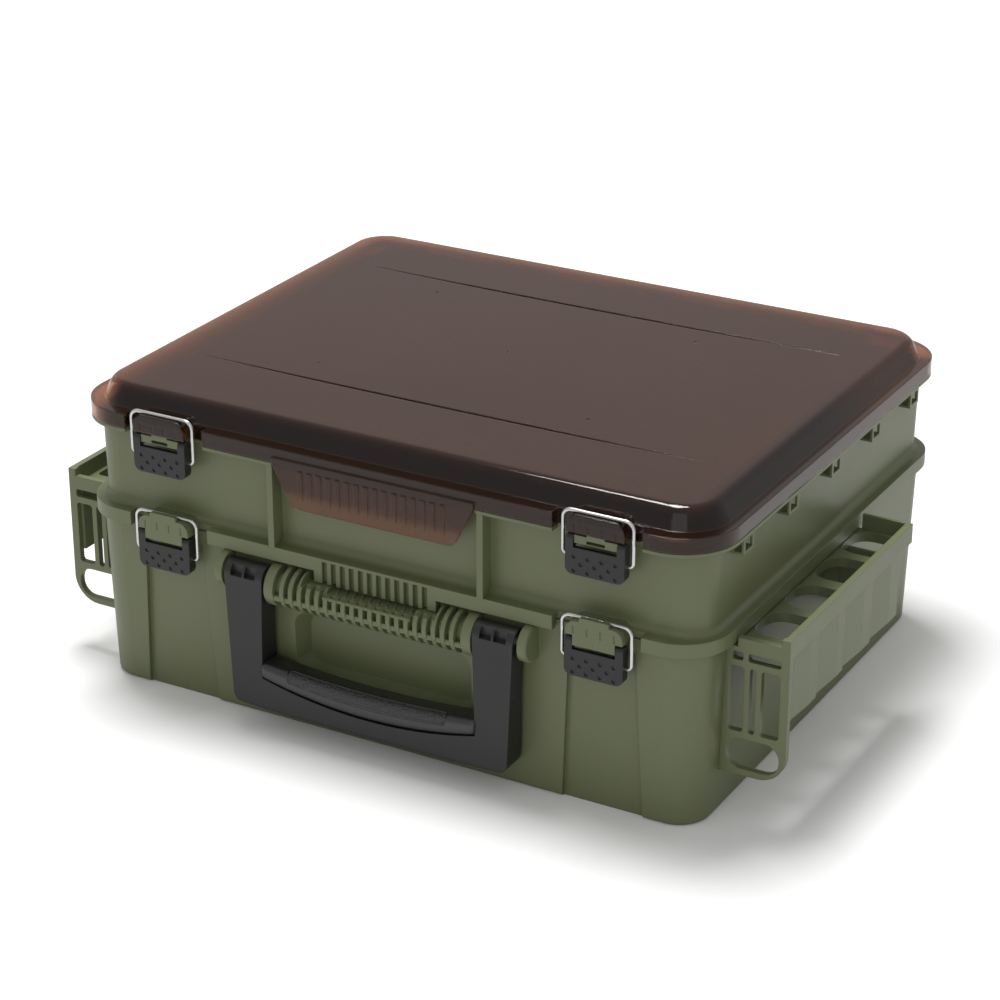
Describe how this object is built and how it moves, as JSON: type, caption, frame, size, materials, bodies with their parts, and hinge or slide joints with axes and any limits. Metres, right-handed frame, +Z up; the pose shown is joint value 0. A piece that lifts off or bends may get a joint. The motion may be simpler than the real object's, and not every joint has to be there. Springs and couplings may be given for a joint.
{
  "type": "fishing tackle cabinet",
  "caption": "Portable two-tier tackle cabinet: lower box, hinged divided tray, smoked clear lid, wire draw latches, bail handle and slotted side racks",
  "frame": {"origin": "centre of the overall bounding box in plan, on the surface the cabinet stands on", "axes": "X runs left to right along the front, Y from the front to the back, Z up; metres"},
  "size_m": [0.483, 0.364, 0.192],
  "materials": {
    "green_plastic": "olive green polypropylene, fine satin moulding texture",
    "smoke_plastic": "smoke brown see-through polycarbonate, glossy",
    "charcoal_plastic": "charcoal, satin",
    "steel_wire": "bright drawn wire",
    "steel": "plain steel rod",
    "divider_plastic": "dark grey green, satin"
  },
  "bodies": {
    "cabinet": {"lower_body": "green_plastic", "hinge_comb": "green_plastic", "handle_pin_left": "steel", "handle_pin_right": "steel", "rack_left": "green_plastic", "rack_right": "green_plastic", "tray_hinge_pin": "steel", "base_divider_left": "divider_plastic", "base_divider_right": "divider_plastic"},
    "tray": {"upper_tray": "green_plastic", "lid_hinge_pin": "steel", "tray_divider_front_1": "divider_plastic", "tray_divider_front_2": "divider_plastic", "tray_divider_front_3": "divider_plastic", "tray_divider_rear_1": "divider_plastic", "tray_divider_rear_2": "divider_plastic"},
    "lid": {"lid": "smoke_plastic"},
    "handle": {"handle": "charcoal_plastic", "handle_grip": "charcoal_plastic"},
    "latch_upper_left": {"latch_plate_upper_left": "charcoal_plastic"},
    "wire_upper_left": {"latch_bail_upper_left": "steel_wire"},
    "latch_upper_right": {"latch_plate_upper_right": "charcoal_plastic"},
    "wire_upper_right": {"latch_bail_upper_right": "steel_wire"},
    "latch_lower_left": {"latch_plate_lower_left": "charcoal_plastic"},
    "wire_lower_left": {"latch_bail_lower_left": "steel_wire"},
    "latch_lower_right": {"latch_plate_lower_right": "charcoal_plastic"},
    "wire_lower_right": {"latch_bail_lower_right": "steel_wire"}
  },
  "joints": [
    {"name": "tray_hinge", "type": "hinge", "parent": "cabinet", "child": "tray", "pos_m": [0, 0.1755, 0.112], "axis": [-1, 0, 0], "range_deg": [0, 90]},
    {"name": "lid_hinge", "type": "hinge", "parent": "tray", "child": "lid", "pos_m": [0, 0.1755, 0.174], "axis": [-1, 0, 0], "range_deg": [0, 100]},
    {"name": "handle_swing", "type": "hinge", "parent": "cabinet", "child": "handle", "pos_m": [0, -0.1724, 0.0985], "axis": [-1, 0, 0], "range_deg": [0, 100]},
    {"name": "latch_upper_left_swing", "type": "hinge", "parent": "tray", "child": "latch_upper_left", "pos_m": [-0.1425, -0.1706, 0.1686], "axis": [-1, 0, 0], "range_deg": [0, 100]},
    {"name": "wire_upper_left_swing", "type": "hinge", "parent": "latch_upper_left", "child": "wire_upper_left", "pos_m": [-0.1425, -0.1698, 0.158], "axis": [-1, 0, 0], "range_deg": [-60, 0]},
    {"name": "latch_upper_right_swing", "type": "hinge", "parent": "tray", "child": "latch_upper_right", "pos_m": [0.1425, -0.1706, 0.1686], "axis": [-1, 0, 0], "range_deg": [0, 100]},
    {"name": "wire_upper_right_swing", "type": "hinge", "parent": "latch_upper_right", "child": "wire_upper_right", "pos_m": [0.1425, -0.1698, 0.158], "axis": [-1, 0, 0], "range_deg": [-60, 0]},
    {"name": "latch_lower_left_swing", "type": "hinge", "parent": "cabinet", "child": "latch_lower_left", "pos_m": [-0.1425, -0.1706, 0.1072], "axis": [-1, 0, 0], "range_deg": [0, 100]},
    {"name": "wire_lower_left_swing", "type": "hinge", "parent": "latch_lower_left", "child": "wire_lower_left", "pos_m": [-0.1425, -0.1698, 0.0966], "axis": [-1, 0, 0], "range_deg": [-60, 0]},
    {"name": "latch_lower_right_swing", "type": "hinge", "parent": "cabinet", "child": "latch_lower_right", "pos_m": [0.1425, -0.1706, 0.1072], "axis": [-1, 0, 0], "range_deg": [0, 100]},
    {"name": "wire_lower_right_swing", "type": "hinge", "parent": "latch_lower_right", "child": "wire_lower_right", "pos_m": [0.1425, -0.1698, 0.0966], "axis": [-1, 0, 0], "range_deg": [-60, 0]}
  ],
  "couplings": [
    {"joint": "wire_upper_left_swing", "follows": "latch_upper_left_swing", "ratio": -0.6},
    {"joint": "wire_upper_right_swing", "follows": "latch_upper_right_swing", "ratio": -0.6},
    {"joint": "wire_lower_left_swing", "follows": "latch_lower_left_swing", "ratio": -0.6},
    {"joint": "wire_lower_right_swing", "follows": "latch_lower_right_swing", "ratio": -0.6}
  ]
}
